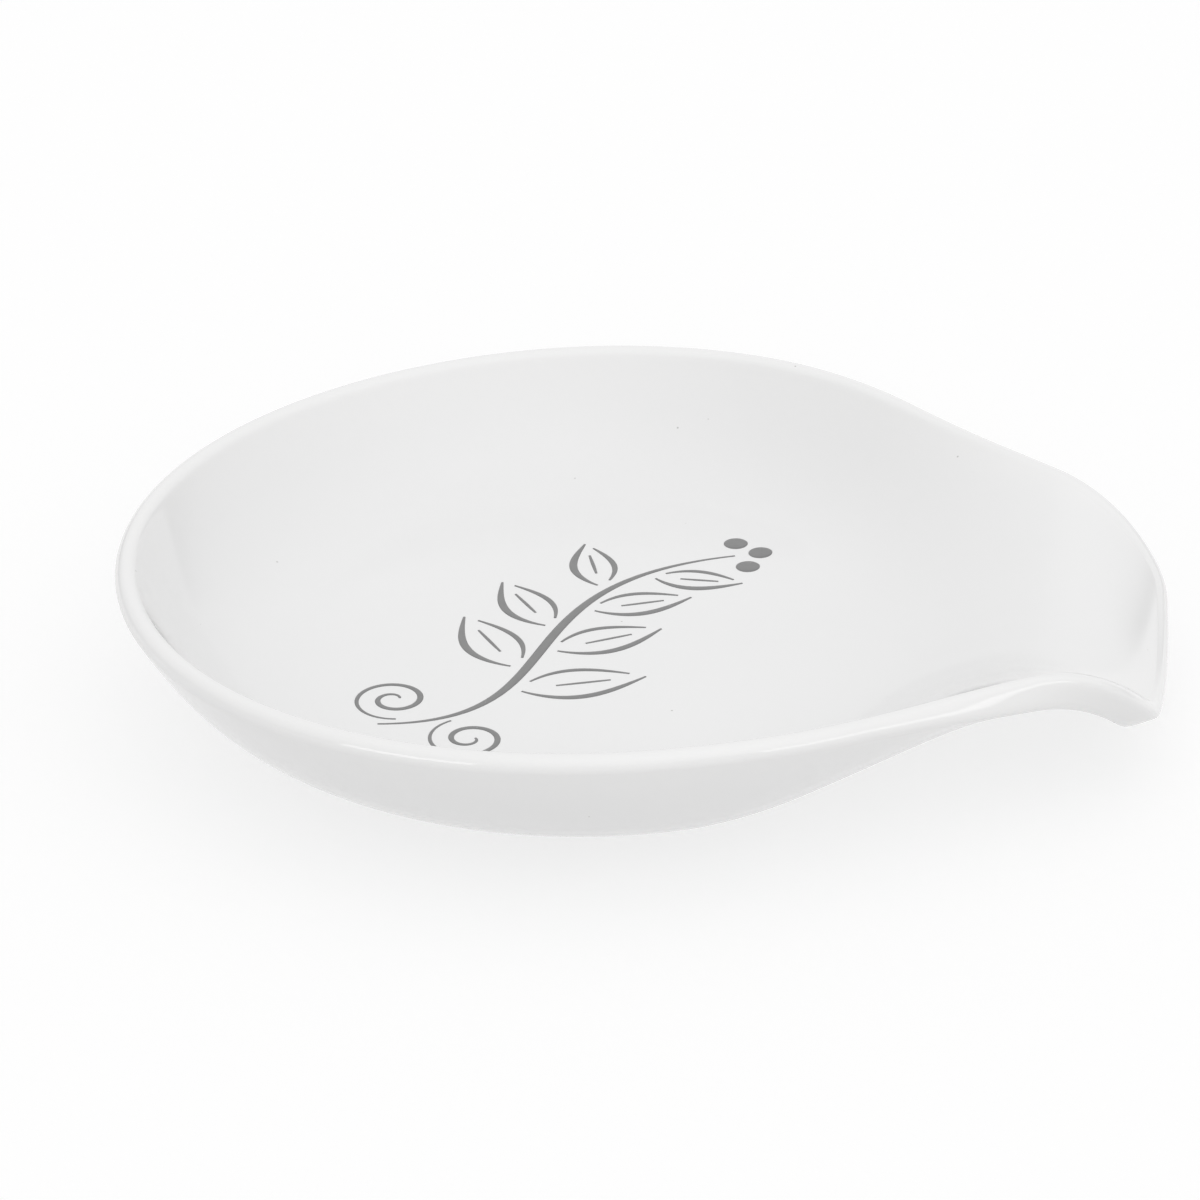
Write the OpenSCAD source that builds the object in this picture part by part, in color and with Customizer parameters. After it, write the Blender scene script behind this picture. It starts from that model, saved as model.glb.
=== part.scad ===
// Spoon rest: a round porcelain dish, drawn out on one side into a broad lip that curls down.
// It is glazed all over except for the bearing face of its foot ring, and a leafy sprig is
// printed on its floor. Millimetres, +Z up. The dish stands on z = 0, the middle of its length
// and width is at x = 0, y = 0, and the lip points along +X.

/* [Dish] */
// Diameter of the round bowl
bowl_d = 90; // [82:1:100]
// Height of the rim over the table
dish_h = 18; // [15:0.5:22]
// How much lower the rim is at the round end than beside the lip
rim_drop = 1; // [0:0.1:2]
// Thickness of the wall at the floor and the foot, glaze included
wall = 3.4; // [2.8:0.1:4]
// Thickness of the wall at the rim of the bowl, glaze included
rim_t = 2.2; // [1.6:0.1:2.6]
// Radius of the level floor inside the bowl
floor_r = 26; // [22:0.5:28]

/* [Lip] */
// How far the lip reaches past the round bowl
lip_reach = 10; // [7:0.5:13]
// Angle between each side of the lip and the long axis
lip_side_angle = 38.5; // [35:0.5:41]
// Thickness of the lip at its edge, glaze included
lip_t = 3.6; // [3:0.1:4]
// Roundness of the edge of the lip: 1 is a half circle, and less is squarer
lip_round = 0.5; // [0.5:0.05:1]
// How far the lower corner of the lip's edge is drawn in, in half thicknesses of the lip
lip_lean = 0.6; // [0:0.05:0.8]
// Radius of the end of the lip, seen from above
lip_end_r = 114; // [70:1:150]
// Radius of the two corners of the lip, seen from above
lip_corner_r = 6; // [4:0.5:9]
// Distance from the end of the lip back to where the floor starts to climb
lip_run = 43.5; // [40:0.5:48]
// Distance from the end of the lip back to its crest
lip_crest_in = 5.5; // [5:0.5:12]
// Height of the middle of the lip at its crest, before the curl takes it down
lip_crest_h = 13.5; // [12.5:0.25:15]
// How far the sides of the lip stand above its middle
lip_dish = 2.5; // [0.5:0.25:3]
// Distance from the long axis at which lip_dish is measured
lip_dish_at = 20; // [16:1:26]
// Radius of the curl at the end of the lip, in the middle of the wall
lip_curl_r = 12; // [9:0.5:13]
// Angle that the end of the lip curls down
lip_curl_angle = 56; // [40:0.5:75]

/* [Foot] */
// Outer diameter of the foot ring
foot_d = 50; // [44:1:54]
// Width of the foot ring, from its outer face to the recess
foot_w = 3; // [2.4:0.1:4]
// Height of the recess inside the foot ring
foot_h = 3.1; // [2.4:0.1:3.6]
// Radius of the fillet between the foot ring and the dish
foot_fillet = 1.2; // [0.6:0.1:1.5]
// Width of the chamfer on the outer edge of the bearing face
foot_chamfer = 0.4; // [0.2:0.1:0.6]

/* [Glaze] */
// Thickness of the glaze
glaze = 0.3; // [0.2:0.05:0.4]
// Gap that keeps a glaze skin clear of the body under it
glaze_seat = 0.02; // [0.01:0.01:0.05]
// Height over the table at which the glaze on the foot ring stops
glaze_stop = 0.6; // [0.5:0.1:0.8]

/* [Print] */
// Thickness of the printed colour
print_film = 0.06; // [0.04:0.01:0.1]
// Gap between the printed colour and the glaze under it
print_seat = 0.05; // [0.05:0.01:0.08]
// Widest part of a heavy stroke
stroke_heavy = 1; // [0.8:0.05:1.2]
// Widest part of a light stroke
stroke_light = 0.6; // [0.5:0.05:0.7]
// Width of every stroke at its ends
stroke_end = 0.24; // [0.2:0.02:0.3]
// Width of the sprig's stem, along the dish
sprig_w = 30; // [26:1:32]
// Length of the sprig's stem, across the dish
sprig_l = 38; // [36:1:40]
// Place of the middle of the stem along the dish, from the bowl's centre
sprig_x = -3; // [-5:0.5:0]
// Place of the middle of the stem across the dish, from the bowl's centre
sprig_y = 1; // [-1:0.5:2]
// Number of leaves on the sprig
leaf_count = 7; // [5:1:7]
// Length of the lowest leaf
leaf_l = 12.5; // [10:0.5:13]
// How much shorter each leaf is than the one below it
leaf_step = 0.6; // [0.4:0.1:0.8]
// Width of the lowest leaf
leaf_w = 5.5; // [4.5:0.25:6]
// Angle between a leaf and the stem
leaf_angle = 48; // [44:1:54]
// Gap between the stem and the foot of a leaf
leaf_gap = 0.9; // [0.8:0.1:1.2]
// Radius of a tendril's outer turn
tendril_r = 4; // [3.2:0.2:4.4]
// Diameter of a berry
berry_d = 2.4; // [1.8:0.1:2.6]

/* [Hidden] */

// Points around the dish, across its inside, round its rim, under its wall and in the foot's fillet
n_around = 72;
n_inside = 15;
n_rim = 6;
n_under = 7;
n_fillet = 2;
// Points along the strokes of the print
n_stem = 60;
n_leaf = 14;
n_tendril = 48;
n_berry = 16;
// How strongly the points around the dish gather at the lip
gather = 0.385;
// How far a cutting cylinder runs past the face that it cuts
overrun = 1;

// The long axis: the bowl's centre is left of the origin by half the reach of the lip
bowl_x = -lip_reach / 2;
end_x = bowl_d / 2 + lip_reach;
root_x = end_x - lip_run;
crest_x = end_x - lip_crest_in;

// The middle surface of the wall, seen from the bowl's centre
mid_r = bowl_d / 2 - rim_t / 2;
floor_mid = foot_h + wall / 2;
rim_mid = dish_h - rim_t / 2;
// How far the squared edge of the curled lip reaches past the middle of its wall, along the dish
square_p = 2 / (2 - lip_round);
square_reach = (cos(lip_curl_angle) ^ square_p + sin(lip_curl_angle) ^ square_p) ^ (1 / square_p);
curl_x = end_x - lip_t / 2 * square_reach - lip_curl_r * sin(lip_curl_angle);
flat_end = curl_x + lip_curl_r * lip_curl_angle * PI / 180;

// The plan of the lip before it is curled: two tangent sides, two corner arcs and an end arc
side_a = 90 - lip_side_angle;
end_r = lip_end_r - lip_t / 2;
corner_r = lip_corner_r - lip_t / 2;
side_out = [cos(side_a), sin(side_a)];
side_along = [sin(side_a), -cos(side_a)];
end_c = [flat_end - end_r, 0];
from_end = (mid_r - corner_r) * side_out - end_c;
side_run = -from_end * side_along
    + sqrt((from_end * side_along) ^ 2 - from_end * from_end + (end_r - corner_r) ^ 2);
corner_c = (mid_r - corner_r) * side_out + side_run * side_along;
corner_from = corner_c + corner_r * side_out;
corner_to = end_c + end_r * unit(corner_c - end_c);
corner_from_a = atan2(corner_from.y, corner_from.x);
corner_to_a = atan2(corner_to.y, corner_to.x);

// The foot ring, and the radius where the dish leaves it and its wall starts to change thickness
foot_r = foot_d / 2;
root_r = foot_r + foot_fillet;
// Shares of the radius inside which the mesh rings stay round and level
round_share = root_r / mid_r;
level_share = 0.95 * min(root_x, floor_r) / mid_r;
// Height of the wall's middle at the crest of the lip
crest_mid = lip_crest_h - half_wall([crest_x, 0]);

// The stem of the sprig is one Bezier curve, with its points as shares of its width and length
stem_shares = [[-0.5, -0.5], [0.17, -0.45], [-0.3, 0.29], [0.5, 0.5]];
stem_points = [for (p = stem_shares) [sprig_x + p.x * sprig_w, sprig_y + p.y * sprig_l]];
// Shares of the stem at its lowest and highest leaves
leaf_from = 0.3;
leaf_to = 0.84;
// Lines of a leaf: its outer edge, its inner edge and its vein. Each has its side, the shares of
// the leaf's length where it starts and ends, and its width
leaf_lines = [
    [1, 0.03, 0.99, 0.8 * stroke_heavy],
    [-1, 0.12, 0.88, stroke_light],
    [0, 0.3, 0.72, 1.5 * stroke_end]
];
// Below 1, the widest part of a leaf lies nearer its foot
leaf_belly = 0.85;
// Each tendril: its share of the stem, and the side that it winds to
tendrils = [[0.03, 1], [0.13, -1]];
tendril_turns = 1.7;
// Radius of a tendril's inner end, as a share of its outer turn
tendril_eye = 0.15;
// Each berry: how far it lies past the tip of the stem and to its left, in berry diameters
berries = [[1.1, 0], [0.3, 1.1], [0.3, -1.1]];

function unit(v) = v / norm(v);
function ease(v) =
    let (c = max(0, min(1, v)))
    c * c * (3 - 2 * c);

// Distance along a ray at angle a to the far side of a circle
function ray_circle(a, c, r) =
    let (q = c * [cos(a), sin(a)])
    q + sqrt(q * q - c * c + r * r);

// Plan radius of the wall's middle at the rim, at angle a (-180 to 180) and before the curl
function rim_r(a) =
    let (t = abs(a))
    t >= side_a ? mid_r
    : t >= corner_from_a ? mid_r / cos(side_a - t)
    : t >= corner_to_a ? ray_circle(t, corner_c, corner_r)
    : ray_circle(t, end_c, end_r);

// How far the rim has turned from bowl (0) to lip (1) at angle a, along the straight sides of the lip
function lip_share(a) = ease((side_a - abs(a)) / (side_a - corner_from_a));

// Half the thickness of the wall at the rim, at angle a
function half_edge(a) = (rim_t + (lip_t - rim_t) * lip_share(a)) / 2;

// Half the thickness of the wall above a flat point
function half_wall(p) =
    let (a = atan2(p.y, p.x))
    wall / 2 + (half_edge(a) - wall / 2) * ease((norm(p) - root_r) / (rim_r(a) - root_r));

// Height of the wall's middle before the curl: a bowl that eases into a shallow trough
function flat_h(x, y) =
    let (
        rise = max(0, (norm([x, y]) - floor_r) / (rim_r(atan2(y, x)) - floor_r)),
        rim = rim_mid - rim_drop * ease((root_x - x) / (root_x + mid_r)),
        bowl = floor_mid + (rim - floor_mid) * rise ^ 3,
        climb = ease((x - root_x) / (crest_x - root_x)),
        lip = floor_mid + (crest_mid - floor_mid) * climb + lip_dish * (y / lip_dish_at) ^ 2
    )
    bowl + (lip - bowl) * climb;

// Point on the wall's middle above a flat point, with the end of the lip curled down
function middle(p) =
    let (a = max(0, p.x - curl_x) / lip_curl_r * 180 / PI)
    [
        min(p.x, curl_x) + lip_curl_r * sin(a),
        p.y,
        flat_h(p.x, p.y) - lip_curl_r * (1 - cos(a))
    ];

// Upward unit normal of the wall's middle above a flat point
function upward(p, e = 0.01) =
    unit(cross(
        middle(p + [e, 0]) - middle(p - [e, 0]),
        middle(p + [0, e]) - middle(p - [0, e])
    ));

// Point on the inside (side 1) or the underside (side -1) of the wall, raised off it by a height
function face_point(p, side, off) = middle(p) + side * (half_wall(p) + off) * upward(p);

// Flat point on ring s (1 is the rim) at angle a: round near the centre, lip-shaped at the rim
function ring_point(s, a) =
    (s * mid_r + (rim_r(a) - mid_r) * ease((s - round_share) / (1 - round_share)))
    * [cos(a), sin(a)];

// Outward unit vector at the rim, square to the rim and to the wall's normal
function outward(a, e = 0.05) =
    unit(cross(
        middle(ring_point(1, a + e)) - middle(ring_point(1, a - e)),
        upward(ring_point(1, a))
    ));

// Angle of the i-th point around the dish, with more of them at the lip
function around(i) =
    let (a = 360 * i / n_around - 180)
    a - gather * sin(a) * 180 / PI;

// Cosine or sine of an angle around the edge of the wall, swollen towards a square where k is below 1
function swollen(v, k) = sign(v) * abs(v) ^ k;

// Section of the dish's skin at angle a, sunk by a depth: inside, rim, underside, foot fillet
function skin_section(a, depth) =
    let (
        edge = half_edge(a) - depth,
        k = 1 - (1 - lip_round) * lip_share(a),
        rim = ring_point(1, a),
        under_h = face_point(ring_point(round_share, a), -1, 0).z,
        bend = foot_fillet + depth
    )
    concat(
        [for (i = [0 : n_inside])
            face_point(ring_point(level_share + (1 - level_share) * i / n_inside, a), 1, -depth)],
        [for (i = [1 : n_rim - 1])
            let (
                height = swollen(cos(180 * i / n_rim), k),
                drawn_in = lip_lean * lip_share(a) * (1 - height) / 2,
                reach = swollen(sin(180 * i / n_rim), k) * (1 - drawn_in)
            )
            middle(rim) + edge * (height * upward(rim) + reach * outward(a))],
        [for (i = [0 : n_under])
            face_point(ring_point(1 - (1 - round_share) * i / n_under, a), -1, -depth)],
        [for (i = [1 : n_fillet])
            let (q = 90 * i / n_fillet)
            foot_point(a, foot_r + foot_fillet - bend * sin(q),
                under_h - foot_fillet + bend * cos(q))]
    );

function foot_point(a, r, z) = [r * cos(a), r * sin(a), z];

// Closed solid from a stack of sections around the dish, with a flat face at each end. Its two
// halves mirror each other, and rings from turn_at on run back inside the first ones.
module revolved(sections, turn_at = 1000) {
    n = len(sections);
    m = len(sections[0]);
    points = [for (k = [0 : m - 1]) for (i = [0 : n - 1]) sections[i][k]];
    sides = [for (k = [0 : m - 2]) for (i = [0 : n - 1])
        let (a = k * n + i, b = k * n + (i + 1) % n)
        each (i < n / 2) == (k < turn_at)
            ? [[a, b, b + n], [a, b + n, a + n]]
            : [[a, b, a + n], [b, b + n, a + n]]];
    ends = [[for (i = [n - 1 : -1 : 0]) i], [for (i = [0 : n - 1]) (m - 1) * n + i]];
    polyhedron(points, concat(sides, ends));
}

// Tapered film of printed colour along a path of flat points, half[i] wide to each side
module stroke(path, half) {
    n = len(path);
    top = print_seat + print_film;
    points = [for (i = [0 : n - 1])
        let (
            ahead = path[min(n - 1, i + 1)] - path[max(0, i - 1)],
            left = half[i] * unit([-ahead.y, ahead.x])
        )
        each [face_point(path[i] + left, 1, print_seat), face_point(path[i] - left, 1, print_seat),
            face_point(path[i] - left, 1, top), face_point(path[i] + left, 1, top)]];
    sides = [for (i = [0 : n - 2]) for (k = [0 : 3])
        let (a = 4 * i + k, b = 4 * i + (k + 1) % 4)
        each [[a, a + 4, b + 4], [a, b + 4, b]]];
    polyhedron(points, concat(sides, [[0, 1, 2, 3]], [[for (k = [3 : -1 : 0]) 4 * (n - 1) + k]]));
}

// Half widths of a stroke that swells from its ends to its middle
function swell(n, width) =
    [for (i = [0 : n]) (stroke_end + (width - stroke_end) * sin(180 * i / n)) / 2];

function bezier(p, t) =
    p[0] * (1 - t) ^ 3 + 3 * p[1] * t * (1 - t) ^ 2 + 3 * p[2] * t ^ 2 * (1 - t) + p[3] * t ^ 3;

function stem_at(t) = bezier(stem_points, t);
function stem_angle(t, e = 0.001) =
    let (d = stem_at(t + e) - stem_at(t - e))
    atan2(d.y, d.x);

// Point at share t along a leaf of length l and half width w, on side -1, 0 (its vein) or 1
function leaf_point(base, a, l, w, side, t) =
    base + l * t * [cos(a), sin(a)] + side * w * sin(180 * t ^ leaf_belly) * [-sin(a), cos(a)];

// One leaf of length l and half width w at share t of the stem, on side turn (-1 or 1)
module leaf(t, l, w, turn) {
    a = stem_angle(t) + turn * leaf_angle;
    base = stem_at(t) + (leaf_gap + stroke_heavy / 2) * [cos(a), sin(a)];
    for (line = leaf_lines)
        stroke([for (i = [0 : n_leaf])
                leaf_point(base, a, l, w, turn * line[0], line[1] + (line[2] - line[1]) * i / n_leaf)],
            swell(n_leaf, line[3]));
}

// The fired body, with its foot ring and the recess that the ring encloses
module porcelain_body() {
    depth = glaze + glaze_seat;
    color("ivory") translate([bowl_x, 0, 0]) difference() {
        revolved([for (i = [0 : n_around - 1])
            let (a = around(i))
            concat(skin_section(a, depth), [
                foot_point(a, foot_r - depth, foot_chamfer),
                foot_point(a, foot_r - depth - foot_chamfer, 0)])]);
        translate([0, 0, -overrun])
            cylinder(r = foot_r - foot_w, h = foot_h + depth + overrun, $fn = 96);
    }
}

// The glaze over the inside, the rim and the outside, down to the foot ring
module dish_glaze() {
    sections = [for (i = [0 : n_around - 1]) [for (depth = [0, glaze])
        concat(skin_section(around(i), depth),
            [foot_point(around(i), foot_r - depth, glaze_stop)])]];
    rings = len(sections[0][0]);
    color("white") translate([bowl_x, 0, 0])
        revolved([for (s = sections) concat(s[0], [for (k = [rings - 1 : -1 : 0]) s[1][k]])], rings);
}

// The glaze in the recess of the foot ring: its ceiling and its inner face
module base_glaze() {
    r = foot_r - foot_w - glaze_seat;
    color("snow") translate([bowl_x, 0, 0]) rotate_extrude($fn = 96)
        polygon([[0, foot_h], [r - glaze, foot_h], [r - glaze, glaze_stop], [r, glaze_stop],
            [r, foot_h + glaze], [0, foot_h + glaze]]);
}

module print_stem() {
    color("dimgray") translate([bowl_x, 0, 0])
        stroke([for (i = [0 : n_stem]) stem_at(i / n_stem)], swell(n_stem, stroke_heavy));
}

module print_leaves() {
    color("dimgray") translate([bowl_x, 0, 0])
        for (i = [0 : leaf_count - 1])
            leaf(leaf_from + (leaf_to - leaf_from) * i / (leaf_count - 1), leaf_l - leaf_step * i,
                (leaf_w - leaf_step * i / 2) / 2, i % 2 == 0 ? -1 : 1);
}

// Spirals that leave the stem side on and wind inwards
module print_tendrils() {
    color("dimgray") translate([bowl_x, 0, 0])
        for (t = tendrils) {
            out_a = stem_angle(t[0]) + t[1] * 90;
            centre = stem_at(t[0]) + (tendril_r + leaf_gap) * [cos(out_a), sin(out_a)];
            stroke([for (i = [0 : n_tendril])
                    let (
                        a = out_a + 180 - t[1] * 360 * tendril_turns * i / n_tendril,
                        r = tendril_r * (1 - (1 - tendril_eye) * i / n_tendril)
                    )
                    centre + r * [cos(a), sin(a)]],
                swell(n_tendril, stroke_light));
        }
}

// Round dabs of colour past the tip of the stem
module print_berries() {
    along = unit(stem_points[3] - stem_points[2]);
    r = berry_d / 2;
    color("dimgray") translate([bowl_x, 0, 0])
        for (b = berries) {
            at = stem_points[3] + berry_d * (b.x * along + b.y * [-along.y, along.x]);
            stroke([for (i = [0 : n_berry]) at - r * cos(180 * i / n_berry) * along],
                [for (i = [0 : n_berry]) max(stroke_end / 4, r * sin(180 * i / n_berry))]);
        }
}

porcelain_body();
dish_glaze();
base_glaze();
print_stem();
print_leaves();
print_tendrils();
print_berries();
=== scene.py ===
"""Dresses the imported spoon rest: its fired body, gloss glaze and printed sprig.

The dish is turned as a flat blank and then pressed to shape, so that every skin of it follows
one surface. A white floor, a soft room and the photograph's camera are set around it.
"""

import math

import bmesh
import bpy
from mathutils import Matrix, Vector


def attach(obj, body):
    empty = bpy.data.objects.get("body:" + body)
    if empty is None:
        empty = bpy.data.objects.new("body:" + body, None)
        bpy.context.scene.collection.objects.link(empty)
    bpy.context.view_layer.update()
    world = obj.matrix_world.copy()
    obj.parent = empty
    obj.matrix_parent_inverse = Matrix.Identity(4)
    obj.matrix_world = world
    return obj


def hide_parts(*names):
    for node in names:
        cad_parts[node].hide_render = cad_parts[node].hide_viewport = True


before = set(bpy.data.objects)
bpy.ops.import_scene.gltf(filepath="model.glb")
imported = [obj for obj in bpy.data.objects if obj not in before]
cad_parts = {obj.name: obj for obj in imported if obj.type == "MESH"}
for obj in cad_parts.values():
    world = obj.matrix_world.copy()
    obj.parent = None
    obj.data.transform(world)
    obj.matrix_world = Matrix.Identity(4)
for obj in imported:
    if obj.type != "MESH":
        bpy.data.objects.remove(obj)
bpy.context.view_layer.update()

MM = 0.001

# The dish
BOWL_D = 90 * MM
DISH_H = 18 * MM
RIM_DROP = 1 * MM
WALL = 3.4 * MM
RIM_T = 2.2 * MM
FLOOR_R = 26 * MM

# The lip
LIP_REACH = 10 * MM
LIP_SIDE_ANGLE = math.radians(38.5)
LIP_T = 3.6 * MM
LIP_ROUND = 0.5
LIP_LEAN = 0.6
LIP_END_R = 114 * MM
LIP_CORNER_R = 6 * MM
LIP_RUN = 43.5 * MM
LIP_CREST_IN = 5.5 * MM
LIP_CREST_H = 13.5 * MM
LIP_DISH = 2.5 * MM
LIP_DISH_AT = 20 * MM
LIP_CURL_R = 12 * MM
LIP_CURL_ANGLE = math.radians(56)

# The foot ring
FOOT_R = 25 * MM
FOOT_W = 3 * MM
FOOT_H = 3.1 * MM
FOOT_FILLET = 1.2 * MM
FOOT_ROUND = 0.4 * MM

# The glaze
GLAZE = 0.3 * MM
GLAZE_SEAT = 0.02 * MM
GLAZE_STOP = 0.6 * MM
RECESS_BEND = 0.8 * MM

# The printed sprig
PRINT_FILM = 0.05 * MM
PRINT_DOME = 0.8
STROKE_HEAVY = 1 * MM
STROKE_LIGHT = 0.6 * MM
STROKE_END = 0.24 * MM
SPRIG_W = 30 * MM
SPRIG_L = 38 * MM
SPRIG_X = -3 * MM
SPRIG_Y = 1 * MM
LEAF_COUNT = 7
LEAF_L = 12.5 * MM
LEAF_STEP = 0.6 * MM
LEAF_W = 5.5 * MM
LEAF_ANGLE = math.radians(48)
LEAF_GAP = 0.9 * MM
LEAF_BELLY = 0.85
TENDRIL_R = 4 * MM
TENDRIL_TURNS = 1.7
TENDRIL_EYE = 0.15
BERRY_D = 2.4 * MM

# The long axis, seen from the centre of the bowl
BOWL_X = -LIP_REACH / 2
END_X = BOWL_D / 2 + LIP_REACH
ROOT_X = END_X - LIP_RUN
CREST_X = END_X - LIP_CREST_IN

# The middle surface of the wall
MID_R = BOWL_D / 2 - RIM_T / 2
FLOOR_MID = FOOT_H + WALL / 2
RIM_MID = DISH_H - RIM_T / 2
# How far the squared edge of the curled lip reaches past the middle of its wall, along the dish
SQUARE_P = 2 / (2 - LIP_ROUND)
SQUARE_SIDES = math.cos(LIP_CURL_ANGLE) ** SQUARE_P + math.sin(LIP_CURL_ANGLE) ** SQUARE_P
SQUARE_REACH = SQUARE_SIDES ** (1 / SQUARE_P)
CURL_X = END_X - LIP_T / 2 * SQUARE_REACH - LIP_CURL_R * math.sin(LIP_CURL_ANGLE)
FLAT_END = CURL_X + LIP_CURL_R * LIP_CURL_ANGLE
ROUND_R = FOOT_R + FOOT_FILLET
# Where on the flat blank the glaze starts to thin towards the rim, and over what width
THIN_FROM = MID_R - WALL
THIN_W = 1.5 * WALL

# The plan of the lip before it is curled: two tangent sides, two corner arcs and an end arc
SIDE_A = math.pi / 2 - LIP_SIDE_ANGLE
END_R = LIP_END_R - LIP_T / 2
CORNER_R = LIP_CORNER_R - LIP_T / 2
SIDE_OUT = Vector((math.cos(SIDE_A), math.sin(SIDE_A)))
SIDE_ALONG = Vector((math.sin(SIDE_A), -math.cos(SIDE_A)))
END_C = Vector((FLAT_END - END_R, 0))
FROM_END = (MID_R - CORNER_R) * SIDE_OUT - END_C
SIDE_BACK = FROM_END.dot(SIDE_ALONG)
SIDE_RUN = math.sqrt(SIDE_BACK**2 - FROM_END.dot(FROM_END) + (END_R - CORNER_R) ** 2) - SIDE_BACK
CORNER_C = (MID_R - CORNER_R) * SIDE_OUT + SIDE_RUN * SIDE_ALONG
CORNER_FROM = CORNER_C + CORNER_R * SIDE_OUT
CORNER_TO = END_C + END_R * (CORNER_C - END_C).normalized()
CORNER_FROM_A = math.atan2(CORNER_FROM.y, CORNER_FROM.x)
CORNER_TO_A = math.atan2(CORNER_TO.y, CORNER_TO.x)

# Steps around the dish, and how strongly they gather at the lip
TURN_STEPS = 360
GATHER = 0.55
# Steps for the numeric slopes of the surface, along the plan and around the rim
SLOPE_STEP = 0.01 * MM
RIM_STEP = math.radians(0.05)
# Points of a turned blank nearer than this are one point
MERGE_DIST = 0.0001 * MM
# Steps across a printed stroke, and along a short one and a long one
STROKE_ACROSS = 6
SHORT_STEPS = 40
LONG_STEPS = 120


def clamp(v):
    return max(0.0, min(1.0, v))


def ease(v):
    c = clamp(v)
    return c * c * (3 - 2 * c)


def ray_circle(a, centre, r):
    """Distance along a ray at angle a to the far side of a circle."""
    q = centre.x * math.cos(a) + centre.y * math.sin(a)
    return q + math.sqrt(q * q - centre.length_squared + r * r)


def rim_r(a):
    """Plan radius of the wall's middle at the rim, at angle a and before the lip is curled."""
    t = abs(a)
    if t >= SIDE_A:
        return MID_R
    if t >= CORNER_FROM_A:
        return MID_R / math.cos(SIDE_A - t)
    if t >= CORNER_TO_A:
        return ray_circle(t, CORNER_C, CORNER_R)
    return ray_circle(t, END_C, END_R)


def lip_share(a):
    """How far the rim has turned from bowl, 0, to lip, 1, along the straight sides of the lip."""
    return ease((SIDE_A - abs(a)) / (SIDE_A - CORNER_FROM_A))


def edge_cut(a):
    """How much thinner each half of the wall is at the rim than at the foot ring, at angle a."""
    return (WALL - RIM_T - (LIP_T - RIM_T) * lip_share(a)) / 2


def thinned(x, y):
    """How much thinner each half of the wall is above a flat point than at the foot ring."""
    a = math.atan2(y, x)
    return edge_cut(a) * ease((math.hypot(x, y) - ROUND_R) / (rim_r(a) - ROUND_R))


CREST_MID = LIP_CREST_H - WALL / 2 + thinned(CREST_X, 0)


def flat_h(x, y):
    """Height of the wall's middle before the curl: a bowl that eases into a shallow trough."""
    rise = max(0.0, (math.hypot(x, y) - FLOOR_R) / (rim_r(math.atan2(y, x)) - FLOOR_R))
    rim = RIM_MID - RIM_DROP * ease((ROOT_X - x) / (ROOT_X + MID_R))
    bowl = FLOOR_MID + (rim - FLOOR_MID) * rise**3
    climb = ease((x - ROOT_X) / (CREST_X - ROOT_X))
    lip = FLOOR_MID + (CREST_MID - FLOOR_MID) * climb + LIP_DISH * (y / LIP_DISH_AT) ** 2
    return bowl + (lip - bowl) * climb


def middle(x, y):
    """Point on the wall's middle above a flat point, with the end of the lip curled down."""
    a = max(0.0, x - CURL_X) / LIP_CURL_R
    curled_x = min(x, CURL_X) + LIP_CURL_R * math.sin(a)
    return Vector((curled_x, y, flat_h(x, y) - LIP_CURL_R * (1 - math.cos(a))))


def upward(x, y):
    """Upward unit normal of the wall's middle above a flat point."""
    along = middle(x + SLOPE_STEP, y) - middle(x - SLOPE_STEP, y)
    across = middle(x, y + SLOPE_STEP) - middle(x, y - SLOPE_STEP)
    return along.cross(across).normalized()


def above(x, y, off):
    """Point at a height off the wall's middle, above a flat point."""
    return middle(x, y) + off * upward(x, y)


def ring_point(r, a):
    """Flat point at blank radius r and angle a: round near the centre, lip-shaped at the rim."""
    grown = r + (rim_r(a) - MID_R) * ease((r - ROUND_R) / (MID_R - ROUND_R))
    return grown * math.cos(a), grown * math.sin(a)


def rim_frame(a):
    """Middle, outward and upward vectors of the wall's edge at angle a."""
    rim = ring_point(MID_R, a)
    along = middle(*ring_point(MID_R, a + RIM_STEP)) - middle(*ring_point(MID_R, a - RIM_STEP))
    up = upward(*rim)
    return middle(*rim), along.cross(up).normalized(), up


def foot_place(r, a, z):
    """Place on the foot ring, whose top follows the dish's underside as that climbs to the lip."""
    level = Vector((r * math.cos(a), r * math.sin(a), FLOOR_MID + z))
    if r < FOOT_R - FOOT_W / 2:
        return level
    root = ring_point(ROUND_R, a)
    lift = above(*root, -WALL / 2) - Vector((*root, FOOT_H))
    in_fillet = clamp((level.z - FOOT_H + FOOT_FILLET) / FOOT_FILLET)
    on_foot = clamp(level.z / (FOOT_H - FOOT_FILLET))
    return level + Vector((lift.x * in_fillet, lift.y * in_fillet, lift.z * on_foot))


def rim_place(x, a, z):
    """Place on the wall's edge: round on the bowl, and on the lip squarer and drawn in below."""
    edge, out, up = rim_frame(a)
    blank = math.hypot(x, z)
    half = blank - edge_cut(a)
    share = lip_share(a)
    k = 1 - (1 - LIP_ROUND) * share
    height = math.copysign(abs(z / blank) ** k, z)
    reach = (x / blank) ** k * (1 - LIP_LEAN * share * (1 - height) / 2)
    return edge + half * (reach * out + height * up)


def pressed(place):
    """Place on the dish of a point of the flat blank, whose z counts from the wall's middle."""
    r = math.hypot(place.x, place.y)
    turn = math.atan2(place.y, place.x)
    a = turn - GATHER * math.sin(turn)
    if r > MID_R:
        return rim_place(r - MID_R, a, place.z)
    if place.z < 0 and r < ROUND_R - SLOPE_STEP:
        return foot_place(r, a, place.z)
    flat = ring_point(r, a)
    return above(*flat, place.z - math.copysign(thinned(*flat), place.z))


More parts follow.
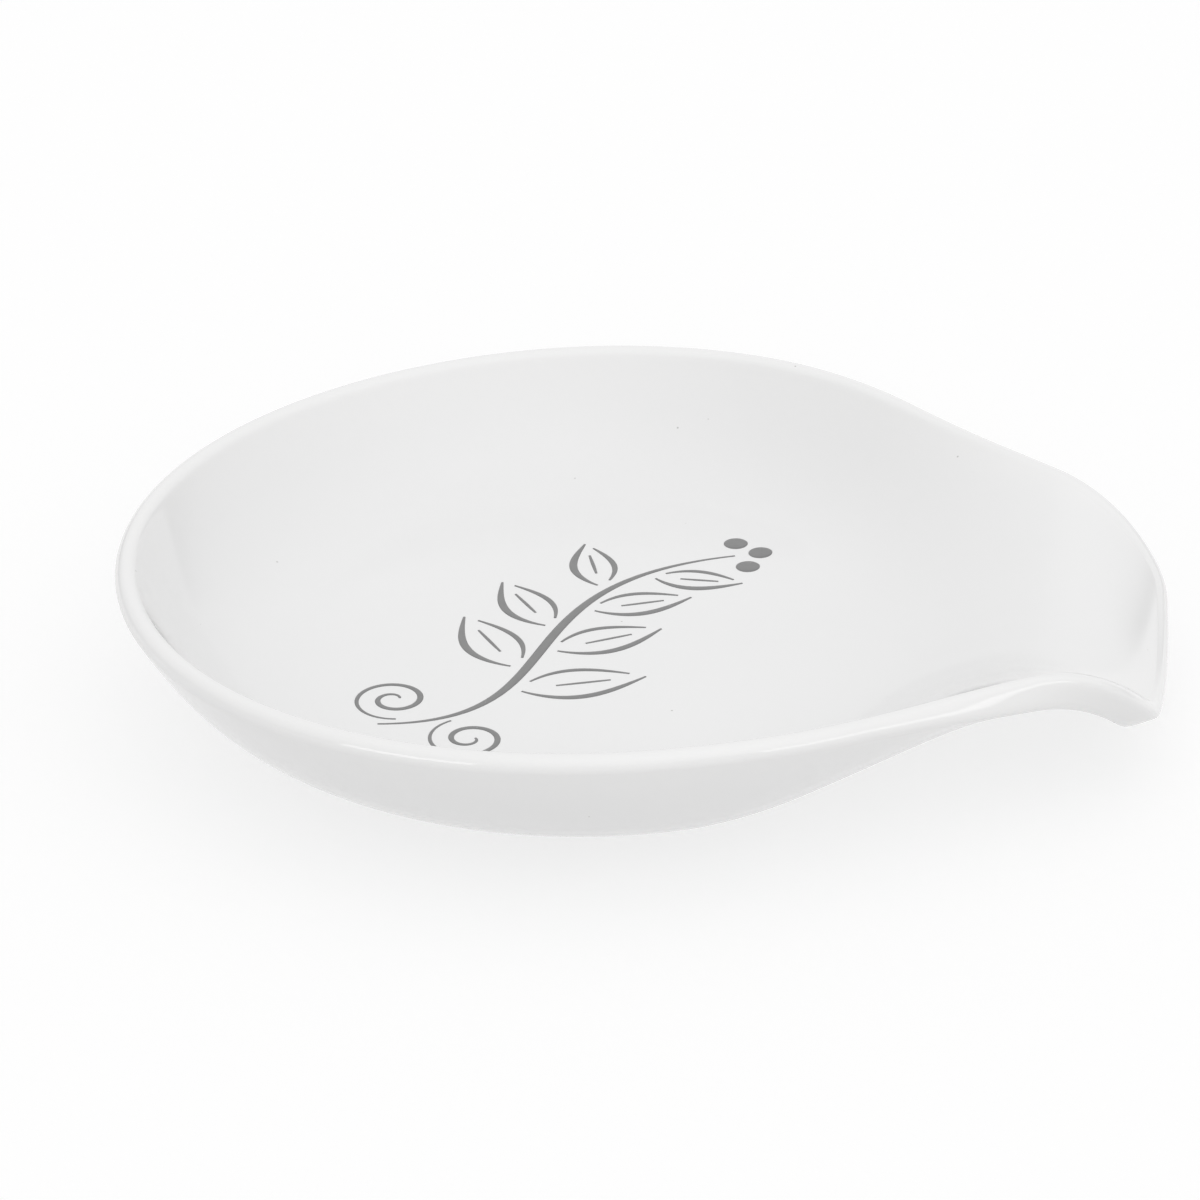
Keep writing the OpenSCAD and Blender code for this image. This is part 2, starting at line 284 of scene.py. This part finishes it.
class Profile:
    """A lathe profile, drawn from point to point in the XZ plane and then turned about Z.

    Each call that draws ends with its count of steps.
    """

    def __init__(self, x, z):
        self.bm = bmesh.new()
        self.tip = self.bm.verts.new((x, 0, z))

    def line(self, x, z, steps=1):
        """Draws straight to the point x, z."""
        start = self.tip.co.copy()
        for i in range(steps):
            self.tip = bmesh.ops.extrude_vert_indiv(self.bm, verts=[self.tip])["verts"][0]
            self.tip.co = start.lerp((x, 0, z), (i + 1) / steps)
        return self

    def arc(self, x, z, degrees, steps):
        """Turns the tip about the point x, z, from +Z towards +X where degrees is positive."""
        swung = bmesh.ops.spin(
            self.bm,
            geom=[self.tip],
            cent=(x, 0, z),
            axis=(0, 1, 0),
            angle=math.radians(degrees),
            steps=steps,
        )
        self.tip = next(e for e in swung["geom_last"] if isinstance(e, bmesh.types.BMVert))
        return self

    def turned(self, steps):
        """The mesh that the finished profile sweeps in one turn."""
        bmesh.ops.spin(
            self.bm,
            geom=self.bm.verts[:] + self.bm.edges[:],
            cent=(0, 0, 0),
            axis=(0, 0, 1),
            angle=math.tau,
            steps=steps,
            use_merge=True,
        )
        bmesh.ops.remove_doubles(self.bm, verts=self.bm.verts[:], dist=MERGE_DIST)
        bmesh.ops.recalc_face_normals(self.bm, faces=self.bm.faces[:])
        return self.bm


def piece(name, bm, finish, node):
    """Makes a mesh a piece of the object, in place of a CAD node."""
    mesh = bpy.data.meshes.new(name)
    bm.to_mesh(mesh)
    bm.free()
    mesh.shade_smooth()
    mesh.materials.append(finish)
    made = bpy.data.objects.new(name, mesh)
    bpy.context.scene.collection.objects.link(made)
    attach(made, "root")
    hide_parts(node)


def press(bm):
    """Presses a turned blank to the dish's shape, and keeps how near each point is to the rim."""
    rim = bm.verts.layers.float.new("rim")
    for v in bm.verts:
        v[rim] = ease((math.hypot(v.co.x, v.co.y) - THIN_FROM) / THIN_W)
        v.co = pressed(v.co)
    bmesh.ops.translate(bm, verts=bm.verts[:], vec=(BOWL_X, 0, 0))
    return bm


class Wire:
    """An output of a paint's nodes. Arithmetic on wires and numbers adds Math nodes."""

    def __init__(self, paint, socket):
        self.paint = paint
        self.socket = socket

    def __add__(self, other):
        return self.paint.math("ADD", self, other)

    def __sub__(self, other):
        return self.paint.math("SUBTRACT", self, other)

    def __rsub__(self, other):
        return self.paint.math("SUBTRACT", other, self)

    def __mul__(self, other):
        return self.paint.math("MULTIPLY", self, other)

    def __pow__(self, other):
        return self.paint.math("POWER", self, other)

    __radd__ = __add__
    __rmul__ = __mul__


class Paint:
    """The nodes of a material, or of the world, drawn one by one."""

    def __init__(self, owner):
        owner.use_nodes = True
        self.owner = owner
        self.tree = owner.node_tree
        self.tree.nodes.clear()

    def node(self, kind, settings, sockets, output=0):
        """Adds a node with its settings, wires and values, and gives one of its outputs."""
        made = self.tree.nodes.new(kind)
        for key, value in settings.items():
            setattr(made, key, value)
        for key, value in sockets.items():
            if isinstance(value, Wire):
                self.tree.links.new(value.socket, made.inputs[key])
            else:
                made.inputs[key].default_value = value
        return Wire(self, made.outputs[output]) if made.outputs else None

    def math(self, operation, a, b):
        return self.node("ShaderNodeMath", {"operation": operation}, {0: a, 1: b})

    def place(self):
        """Place on the object, in metres."""
        return self.node("ShaderNodeTexCoord", {}, {}, "Object")

    def noise(self, size, detail=2.0, roughness=0.5):
        """Cloudy noise from 0 to 1, with features of about a size."""
        sockets = {
            "Vector": self.place(),
            "Scale": 1 / size,
            "Detail": detail,
            "Roughness": roughness,
        }
        return self.node("ShaderNodeTexNoise", {}, sockets)

    def step(self, value, low, high):
        """0 where a value is below low, 1 above high, and smooth between."""
        sockets = {"Value": value, "From Min": low, "From Max": high}
        return self.node("ShaderNodeMapRange", {"interpolation_type": "SMOOTHSTEP"}, sockets)

    def blend(self, factor, a, b):
        """Colour a where the factor is 0, and b where it is 1."""
        return self.node("ShaderNodeMix", {"data_type": "RGBA"}, {0: factor, 6: a, 7: b}, 2)

    def bump(self, height, distance, normal=None):
        """Normal of a surface that a height from 0 to 1 raises by a distance."""
        sockets = {"Height": height, "Distance": distance, "Strength": 1.0}
        if normal:
            sockets["Normal"] = normal
        return self.node("ShaderNodeBump", {}, sockets)

    def finish(self, sockets):
        """The finished material, with one Principled shader."""
        shader = self.node("ShaderNodeBsdfPrincipled", {}, sockets)
        self.node("ShaderNodeOutputMaterial", {}, {"Surface": shader})
        return self.owner


def grey(level, tint=0.0):
    """A grey with a little warmth, or coolness where the tint is negative."""
    return (level * (1 + tint), level, level * (1 - tint), 1.0)


def specks(paint, spacing, size):
    """1 in a few tiny round marks, as kiln dust leaves in a glaze, and 0 between them."""
    cells = {"Vector": paint.place(), "Scale": 1 / spacing}
    distance = paint.node("ShaderNodeTexVoronoi", {}, cells, "Distance")
    return 1 - paint.step(distance, 0.5 * size / spacing, size / spacing)


# The glaze: its clouds, waves and fine peel, how high the last two stand, and its specks
CLOUD_SIZE = 30 * MM
WAVE_SIZE = 9 * MM
WAVE_H = 0.02 * MM
PEEL_SIZE = 2.2 * MM
PEEL_H = 0.003 * MM
DUST_SPACING = 5 * MM
DUST_SIZE = 0.14 * MM
WHITE = grey(0.83)
WHITE_DIM = grey(0.80)
WHITE_RIM = grey(0.84, 0.004)
DUST = grey(0.30, 0.05)

# The bare porcelain: its grain and the patches where it is rubbed
GRAIN_SIZE = 0.25 * MM
GRAIN_H = 0.03 * MM
RUB_SIZE = 8 * MM
CLAY = grey(0.76, 0.04)
CLAY_DARK = grey(0.66, 0.05)
CLAY_RUBBED = grey(0.5, 0.03)

# The print: its mottle, its thinner patches and its pinholes
MOTTLE_SIZE = 1.4 * MM
MOTTLE_H = 0.004 * MM
PATCH_SIZE = 12 * MM
PINHOLE_SPACING = 0.9 * MM
PINHOLE_SIZE = 0.06 * MM
INK = grey(0.165)
INK_PALE = grey(0.225)
INK_THIN = grey(0.25)
PINHOLE = grey(0.6)


def glaze_finish():
    """Clear gloss glaze over white porcelain: uneven, thin at the rim, with rare specks."""
    paint = Paint(bpy.data.materials.new("gloss_glaze"))
    clouds = paint.noise(CLOUD_SIZE, 3.0)
    ripple = paint.noise(WAVE_SIZE)
    peel = paint.noise(PEEL_SIZE)
    rim = paint.node("ShaderNodeAttribute", {"attribute_name": "rim"}, {}, "Fac")
    dust = specks(paint, DUST_SPACING, DUST_SIZE)
    white = paint.blend(clouds, WHITE_DIM, WHITE)
    white = paint.blend(0.6 * rim, white, WHITE_RIM)
    white = paint.blend(0.55 * dust, white, DUST)
    waves = paint.bump(ripple, WAVE_H)
    waves = paint.bump(peel, PEEL_H, waves)
    return paint.finish({
        "Base Color": white,
        "Roughness": 0.05 + 0.05 * clouds,
        "IOR": 1.5,
        "Coat Weight": 0.04 + 0.06 * ripple,
        "Coat Roughness": 0.03,
        "Normal": waves,
    })


def bisque_finish():
    """Bare fired porcelain: matt, slightly warm, fine-grained and grey where use rubs it."""
    paint = Paint(bpy.data.materials.new("bare_porcelain"))
    grain = paint.noise(GRAIN_SIZE, 4.0, 0.7)
    rubbed = paint.step(paint.noise(RUB_SIZE, 3.0), 0.5, 0.7)
    clay = paint.blend(grain, CLAY_DARK, CLAY)
    clay = paint.blend(0.3 * rubbed, clay, CLAY_RUBBED)
    return paint.finish({
        "Base Color": clay,
        "Roughness": 0.85 - 0.2 * rubbed,
        "Normal": paint.bump(grain, GRAIN_H),
    })


def print_finish():
    """Fired grey colour: dense, with the slight mottle and pinholes of a transfer print."""
    paint = Paint(bpy.data.materials.new("print_grey"))
    mottle = paint.noise(MOTTLE_SIZE, 3.0, 0.6)
    pinholes = specks(paint, PINHOLE_SPACING, PINHOLE_SIZE)
    ink = paint.blend(mottle, INK, INK_PALE)
    ink = paint.blend(0.3 * paint.noise(PATCH_SIZE), ink, INK_THIN)
    ink = paint.blend(0.6 * pinholes, ink, PINHOLE)
    return paint.finish({
        "Base Color": ink,
        "Roughness": 0.25 + 0.15 * mottle,
        "Normal": paint.bump(mottle, MOTTLE_H),
    })


def fired_body():
    """The porcelain under the glaze, with its foot ring and the recess inside the ring."""
    depth = GLAZE + GLAZE_SEAT
    half = WALL / 2 - depth
    table = -FLOOR_MID
    foot_out = FOOT_R - depth
    foot_in = FOOT_R - FOOT_W
    ceiling = table + FOOT_H + depth
    outline = Profile(0, half).line(MID_R, half, 40).arc(MID_R, 0, 180, 8).line(ROUND_R, -half, 16)
    outline.arc(ROUND_R, -WALL / 2 - FOOT_FILLET, -90, 6).line(foot_out, table + FOOT_ROUND, 4)
    outline.arc(foot_out - FOOT_ROUND, table + FOOT_ROUND, 90, 6)
    outline.line(foot_in + FOOT_ROUND, table, 3)
    outline.arc(foot_in + FOOT_ROUND, table + FOOT_ROUND, 90, 6)
    outline.line(foot_in, ceiling).line(0, ceiling)
    body = press(outline.turned(TURN_STEPS))
    piece("fired_body", body, bisque_finish(), "porcelain_body")


def glaze_skin(finish):
    """The glaze over the inside, the rim and the outside, with a round bead on the foot ring."""
    half = WALL / 2
    inner = half - GLAZE
    fillet_z = -half - FOOT_FILLET
    stop = GLAZE_STOP + GLAZE / 2 - FLOOR_MID
    outline = Profile(0, half).line(ROOT_X, half, 4).line(FLOOR_R, half, 22).line(MID_R, half, 80)
    outline.arc(MID_R, 0, 180, 20).line(ROUND_R, -half, 32)
    outline.arc(ROUND_R, fillet_z, -90, 8).line(FOOT_R, stop, 4)
    outline.arc(FOOT_R - GLAZE / 2, stop, 180, 6).line(FOOT_R - GLAZE, fillet_z, 2)
    outline.arc(ROUND_R, fillet_z, 90, 6).line(MID_R, -inner, 12)
    outline.arc(MID_R, 0, -180, 10).line(0, inner, 24)
    piece("glaze_skin", press(outline.turned(TURN_STEPS)), finish, "dish_glaze")


def recess_glaze(finish):
    """The glaze on the ceiling and the inner face of the foot ring's recess."""
    wall_r = FOOT_R - FOOT_W - GLAZE_SEAT
    top = FOOT_H + GLAZE
    bend_r = wall_r - GLAZE - RECESS_BEND
    stop = GLAZE_STOP + GLAZE / 2
    outline = Profile(0, FOOT_H).line(bend_r, FOOT_H, 20)
    outline.arc(bend_r, FOOT_H - RECESS_BEND, 90, 8).line(wall_r - GLAZE, stop, 3)
    outline.arc(wall_r - GLAZE / 2, stop, -180, 6).line(wall_r, top).line(0, top)
    bm = outline.turned(TURN_STEPS // 2)
    bmesh.ops.translate(bm, verts=bm.verts[:], vec=(BOWL_X, 0, 0))
    piece("recess_glaze", bm, finish, "base_glaze")


STEM_SHARES = ((-0.5, -0.5), (0.17, -0.45), (-0.3, 0.29), (0.5, 0.5))
STEM_POINTS = [Vector((SPRIG_X + x * SPRIG_W, SPRIG_Y + y * SPRIG_L)) for x, y in STEM_SHARES]
# Shares of the stem at its lowest and highest leaves
LEAF_FROM = 0.3
LEAF_TO = 0.84
# Side, start and end shares, and width of a leaf's outer edge, inner edge and vein
LEAF_LINES = (
    (1, 0.03, 0.99, 0.8 * STROKE_HEAVY),
    (-1, 0.12, 0.88, STROKE_LIGHT),
    (0, 0.3, 0.72, 1.5 * STROKE_END),
)
# Share of the stem where each tendril leaves it, and the side that it winds to
TENDRILS = ((0.03, 1), (0.13, -1))
# How far each berry lies past the tip of the stem and to its left, in berry diameters
BERRIES = ((1.1, 0), (0.3, 1.1), (0.3, -1.1))


def heading(a):
    return Vector((math.cos(a), math.sin(a)))


def stem_at(t):
    p, q, r, s = STEM_POINTS
    return p * (1 - t) ** 3 + 3 * q * t * (1 - t) ** 2 + 3 * r * t**2 * (1 - t) + s * t**3


def stem_angle(t, e=0.001):
    along = stem_at(t + e) - stem_at(t - e)
    return math.atan2(along.y, along.x)


def swell(width):
    """Half width of a stroke that swells from its ends to its middle, at share u of its length."""
    return lambda u: (STROKE_END + (width - STROKE_END) * math.sin(math.pi * u)) / 2


def stroke(bm, path, half, steps):
    """Lays a stroke of printed colour on the glaze: a domed ribbon along a path, closed below."""
    e = 0.5 / steps
    sheet = bmesh.ops.create_grid(bm, x_segments=steps, y_segments=STROKE_ACROSS, size=0.5)["verts"]
    for v in sheet:
        u = v.co.x + 0.5
        side = 2 * v.co.y
        ahead = path(min(1.0, u + e)) - path(max(0.0, u - e))
        left = half(u) * Vector((-ahead.y, ahead.x)).normalized()
        dome = PRINT_FILM * (1 - PRINT_DOME * side**4)
        flat = path(u) + side * left
        v.co = above(*flat, WALL / 2 - thinned(*flat) + dome)
    faces = list({f for v in sheet for f in v.link_faces})
    bmesh.ops.solidify(bm, geom=faces, thickness=PRINT_FILM)


def printed(name, strokes, finish, node):
    """A piece of the print, from its strokes: each a path, a half width and a count of steps."""
    bm = bmesh.new()
    for path, half, steps in strokes:
        stroke(bm, path, half, steps)
    bmesh.ops.recalc_face_normals(bm, faces=bm.faces[:])
    bmesh.ops.translate(bm, verts=bm.verts[:], vec=(BOWL_X, 0, 0))
    piece(name, bm, finish, node)


def leaf_strokes(i):
    """The three lines of the i-th leaf up the stem."""
    t = LEAF_FROM + (LEAF_TO - LEAF_FROM) * i / (LEAF_COUNT - 1)
    turn = 1 if i % 2 else -1
    a = stem_angle(t) + turn * LEAF_ANGLE
    length = LEAF_L - LEAF_STEP * i
    half_w = (LEAF_W - LEAF_STEP * i / 2) / 2
    base = stem_at(t) + (LEAF_GAP + STROKE_HEAVY / 2) * heading(a)
    for side, start, end, width in LEAF_LINES:
        def path(u, side=side, start=start, end=end):
            s = start + (end - start) * u
            belly = turn * side * half_w * math.sin(math.pi * s**LEAF_BELLY)
            return base + length * s * heading(a) + belly * heading(a + math.pi / 2)
        yield path, swell(width), SHORT_STEPS


def tendril_stroke(t, side):
    """A spiral that leaves the stem side on and winds inwards."""
    out_a = stem_angle(t) + side * math.pi / 2
    centre = stem_at(t) + (TENDRIL_R + LEAF_GAP) * heading(out_a)

    def path(u):
        r = TENDRIL_R * (1 - (1 - TENDRIL_EYE) * u)
        return centre + r * heading(out_a + math.pi - side * math.tau * TENDRIL_TURNS * u)

    return path, swell(STROKE_LIGHT), LONG_STEPS


def berry_stroke(ahead, left):
    """A round dab of colour past the tip of the stem."""
    along = (STEM_POINTS[3] - STEM_POINTS[2]).normalized()
    at = STEM_POINTS[3] + BERRY_D * (ahead * along + left * Vector((-along.y, along.x)))

    def path(u):
        return at - BERRY_D / 2 * math.cos(math.pi * u) * along

    def half(u):
        return max(STROKE_END / 8, BERRY_D / 2 * math.sin(math.pi * u))

    return path, half, SHORT_STEPS


def sprig(finish):
    """The print on the floor of the bowl: a stem with leaves, two tendrils and three berries."""
    stem = (stem_at, swell(STROKE_HEAVY), LONG_STEPS)
    leaves = [line for i in range(LEAF_COUNT) for line in leaf_strokes(i)]
    printed("sprig_stem", [stem], finish, "print_stem")
    printed("sprig_leaves", leaves, finish, "print_leaves")
    printed("sprig_tendrils", [tendril_stroke(*t) for t in TENDRILS], finish, "print_tendrils")
    printed("sprig_berries", [berry_stroke(*b) for b in BERRIES], finish, "print_berries")


# The camera, as the photograph was taken: where it looks, from which side and how far away
LOOK_AT = Vector((-4.57, 4.39, 9)) * MM
CAMERA_AZIMUTH = math.radians(6.83)
CAMERA_ELEVATION = math.radians(26.7)
CAMERA_ROLL = 0.0163
CAMERA_DISTANCE = 586 * MM
# Width of the view where the camera looks
VIEW_W = 1200 / 10.4 * MM
SENSOR_W = 36


def camera():
    """The camera, which the render uses as it stands."""
    data = bpy.data.cameras.new("camera")
    data.sensor_width = SENSOR_W
    data.lens = SENSOR_W * CAMERA_DISTANCE / VIEW_W
    data.clip_start = 10 * MM
    made = bpy.data.objects.new("camera", data)
    turn = Matrix.Rotation(CAMERA_AZIMUTH, 4, "Z")
    tilt = Matrix.Rotation(math.pi / 2 - CAMERA_ELEVATION, 4, "X")
    roll = Matrix.Rotation(-CAMERA_ROLL, 4, "Z")
    back = Matrix.Translation((0, 0, CAMERA_DISTANCE))
    made.matrix_world = Matrix.Translation(LOOK_AT) @ turn @ tilt @ roll @ back
    bpy.context.scene.collection.objects.link(made)
    bpy.context.scene.camera = made


# Name, place in metres and watts of each panel that shows in the gloss, and the size of both
SOFTBOXES = (
    ("left_box", Vector((-0.44, -0.61, 0.17)), 0.75),
    ("right_box", Vector((0.66, -0.36, 0.17)), 0.6),
)
SOFTBOX_W = 0.43
SOFTBOX_H = 0.22


def softbox(name, place, watts):
    """A panel that faces the dish and shows in its gloss, while the room gives the light itself."""
    data = bpy.data.lights.new(name, "AREA")
    data.shape = "RECTANGLE"
    data.size = SOFTBOX_W
    data.size_y = SOFTBOX_H
    data.energy = watts
    made = bpy.data.objects.new(name, data)
    made.visible_diffuse = False
    turn = (place - LOOK_AT).to_track_quat("Z", "Y")
    made.matrix_world = Matrix.Translation(place) @ turn.to_matrix().to_4x4()
    bpy.context.scene.collection.objects.link(made)


def seen_ray(paint):
    """1 for what the camera sees, straight or in a reflection, and 0 for light on its way."""
    kinds = ("Is Camera Ray", "Is Glossy Ray", "Is Transmission Ray")
    first, *rest = [paint.node("ShaderNodeLightPath", {}, {}, kind) for kind in kinds]
    for kind in rest:
        first = paint.math("MAXIMUM", first, kind)
    return first


# Light of the white tent, and the light below its floor
TENT = 0.9
TENT_BELOW = 0.86
# Direction of the middle of the lamp that shines on the tent, above the camera and to its right,
# what it adds and the power that gathers it
LAMP_AT = Vector((0.32, -0.53, 0.78))
LAMP = 0.5
LAMP_FOCUS = 3
# How far the flags at both sides dim the tent, the powers that end them above and below, and the
# squared sideways shares of a direction between which they fade in
FLAG_DIM = 1.7
FLAG_TOP = 8
FLAG_BOTTOM = 20
FLAG_FROM = 0.1
FLAG_TO = 0.25


def room():
    """A white tent with a soft lamp in front, dim flags at its sides and light below its floor."""
    world = bpy.data.worlds.new("room")
    bpy.context.scene.world = world
    paint = Paint(world)
    way = paint.node("ShaderNodeTexCoord", {}, {}, "Generated")
    right = paint.node("ShaderNodeSeparateXYZ", {}, {"Vector": way}, "X")
    up = paint.node("ShaderNodeSeparateXYZ", {}, {"Vector": way}, "Z")
    dot = {"operation": "DOT_PRODUCT"}
    near = paint.node("ShaderNodeVectorMath", dot, {0: way, 1: LAMP_AT}, "Value")
    lamp = paint.math("MAXIMUM", near, 0.0) ** LAMP_FOCUS
    over = paint.math("GREATER_THAN", up, 0.0)
    sides = paint.step(right * right, FLAG_FROM, FLAG_TO)
    flags = ((1 - up) ** FLAG_TOP - (1 - up) ** FLAG_BOTTOM) * sides
    tent = TENT * (1 - FLAG_DIM * flags) + LAMP * lamp
    strength = over * tent + TENT_BELOW * (1 - over)
    light = paint.node("ShaderNodeBackground", {}, {"Color": grey(1.0), "Strength": strength})
    paint.node("ShaderNodeOutputWorld", {}, {"Surface": light})


# Shares of light that the frosted ground sends back and lets through, and what lifts it to white
GROUND_BACK = 0.3
GROUND_THROUGH = 0.6
GROUND_LIFT = 0.165
# Its radius in metres, and the steps around it
GROUND_R = 3.0
GROUND_STEPS = 96


def ground():
    """A plain white frosted floor with a soft shadow, which a camera under it sees through."""
    paint = Paint(bpy.data.materials.new("frosted_floor"))
    back = paint.node("ShaderNodeBsdfDiffuse", {}, {"Color": grey(GROUND_BACK)})
    through = paint.node("ShaderNodeBsdfTranslucent", {}, {"Color": grey(GROUND_THROUGH)})
    glow = GROUND_LIFT * seen_ray(paint)
    lift = paint.node("ShaderNodeEmission", {}, {"Color": grey(1.0), "Strength": glow})
    white = paint.node("ShaderNodeAddShader", {}, {0: back, 1: through})
    white = paint.node("ShaderNodeAddShader", {}, {0: white, 1: lift})
    under = paint.node("ShaderNodeNewGeometry", {}, {}, "Backfacing")
    straight = paint.node("ShaderNodeLightPath", {}, {}, "Is Camera Ray")
    clear = paint.node("ShaderNodeBsdfTransparent", {}, {})
    white = paint.node("ShaderNodeMixShader", {}, {0: under * straight, 1: white, 2: clear})
    paint.node("ShaderNodeOutputMaterial", {}, {"Surface": white})
    bm = bmesh.new()
    bmesh.ops.create_circle(bm, cap_ends=True, segments=GROUND_STEPS, radius=GROUND_R)
    mesh = bpy.data.meshes.new("floor")
    bm.to_mesh(mesh)
    bm.free()
    mesh.materials.append(paint.owner)
    made = bpy.data.objects.new("floor", mesh)
    bpy.context.scene.collection.objects.link(made)


camera()
glaze = glaze_finish()
fired_body()
glaze_skin(glaze)
recess_glaze(glaze)
sprig(print_finish())
ground()
room()
for box in SOFTBOXES:
    softbox(*box)
bpy.context.scene.view_settings.view_transform = "Standard"
